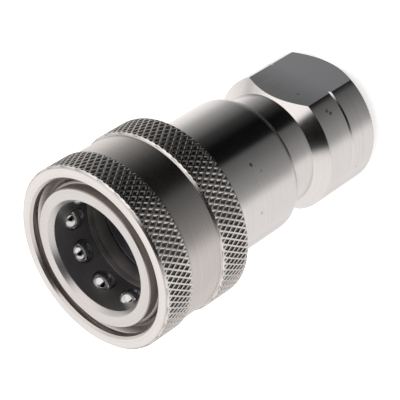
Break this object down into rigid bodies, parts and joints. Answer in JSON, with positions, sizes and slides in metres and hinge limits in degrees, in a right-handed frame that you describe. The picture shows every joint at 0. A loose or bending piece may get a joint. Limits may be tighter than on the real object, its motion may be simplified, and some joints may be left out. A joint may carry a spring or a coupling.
{
  "type": "hydraulic quick coupler socket",
  "caption": "Stainless ball-lock hydraulic quick coupler socket with a spring-loaded knurled sleeve, a sprung poppet valve and a female threaded port with wrench flats.",
  "frame": {"origin": "centre of the port's end face, on which the coupler stands", "axes": "+Z along the coupler's axis towards the mouth; +X and -X are the normals of the two wrench flats"},
  "size_m": [0.0392, 0.0392, 0.0706],
  "materials": {
    "turned_stainless": "fine turned satin",
    "knurled_stainless": "diamond knurled bands, turned waist",
    "spring_steel": "drawn wire",
    "ball_steel": "polished",
    "black_rubber": "moulded, smooth",
    "backup_plastic": "turned, filled"
  },
  "bodies": {
    "coupler": {"body": "turned_stainless", "adapter": "turned_stainless", "retaining_ring": "spring_steel", "sleeve_spring": "spring_steel", "socket_seal": "black_rubber", "backup_ring": "backup_plastic", "valve_guide": "turned_stainless", "valve_spring": "spring_steel", "adapter_seal": "black_rubber"},
    "sleeve": {"sleeve": "knurled_stainless"},
    "valve": {"poppet": "turned_stainless", "valve_seal": "black_rubber"},
    "ball_1": {"ball_1": "ball_steel"},
    "ball_2": {"ball_2": "ball_steel"},
    "ball_3": {"ball_3": "ball_steel"},
    "ball_4": {"ball_4": "ball_steel"},
    "ball_5": {"ball_5": "ball_steel"},
    "ball_6": {"ball_6": "ball_steel"},
    "ball_7": {"ball_7": "ball_steel"},
    "ball_8": {"ball_8": "ball_steel"},
    "ball_9": {"ball_9": "ball_steel"},
    "ball_10": {"ball_10": "ball_steel"}
  },
  "joints": [
    {"name": "sleeve_slide", "type": "slide", "parent": "coupler", "child": "sleeve", "axis": [0, 0, -1], "range_m": [0, 0.0064], "stiffness_N_per_m": 5000, "springref_m": -0.006, "deforming": ["sleeve_spring"]},
    {"name": "valve_slide", "type": "slide", "parent": "coupler", "child": "valve", "axis": [0, 0, -1], "range_m": [0, 0.005], "stiffness_N_per_m": 3000, "springref_m": -0.005, "deforming": ["valve_spring"]},
    {"name": "ball_1_slide", "type": "slide", "parent": "coupler", "child": "ball_1", "axis": [0.9511, 0.309, 0], "range_m": [0, 0.00173]},
    {"name": "ball_2_slide", "type": "slide", "parent": "coupler", "child": "ball_2", "axis": [0.5878, 0.809, 0], "range_m": [0, 0.00173]},
    {"name": "ball_3_slide", "type": "slide", "parent": "coupler", "child": "ball_3", "axis": [0, 1, 0], "range_m": [0, 0.00173]},
    {"name": "ball_4_slide", "type": "slide", "parent": "coupler", "child": "ball_4", "axis": [-0.5878, 0.809, 0], "range_m": [0, 0.00173]},
    {"name": "ball_5_slide", "type": "slide", "parent": "coupler", "child": "ball_5", "axis": [-0.9511, 0.309, 0], "range_m": [0, 0.00173]},
    {"name": "ball_6_slide", "type": "slide", "parent": "coupler", "child": "ball_6", "axis": [-0.9511, -0.309, 0], "range_m": [0, 0.00173]},
    {"name": "ball_7_slide", "type": "slide", "parent": "coupler", "child": "ball_7", "axis": [-0.5878, -0.809, 0], "range_m": [0, 0.00173]},
    {"name": "ball_8_slide", "type": "slide", "parent": "coupler", "child": "ball_8", "axis": [0, -1, 0], "range_m": [0, 0.00173]},
    {"name": "ball_9_slide", "type": "slide", "parent": "coupler", "child": "ball_9", "axis": [0.5878, -0.809, 0], "range_m": [0, 0.00173]},
    {"name": "ball_10_slide", "type": "slide", "parent": "coupler", "child": "ball_10", "axis": [0.9511, -0.309, 0], "range_m": [0, 0.00173]}
  ],
  "couplings": [
    {"joint": "ball_1_slide", "follows": "sleeve_slide", "ratio": 0.27031},
    {"joint": "ball_2_slide", "follows": "sleeve_slide", "ratio": 0.27031},
    {"joint": "ball_3_slide", "follows": "sleeve_slide", "ratio": 0.27031},
    {"joint": "ball_4_slide", "follows": "sleeve_slide", "ratio": 0.27031},
    {"joint": "ball_5_slide", "follows": "sleeve_slide", "ratio": 0.27031},
    {"joint": "ball_6_slide", "follows": "sleeve_slide", "ratio": 0.27031},
    {"joint": "ball_7_slide", "follows": "sleeve_slide", "ratio": 0.27031},
    {"joint": "ball_8_slide", "follows": "sleeve_slide", "ratio": 0.27031},
    {"joint": "ball_9_slide", "follows": "sleeve_slide", "ratio": 0.27031},
    {"joint": "ball_10_slide", "follows": "sleeve_slide", "ratio": 0.27031}
  ]
}
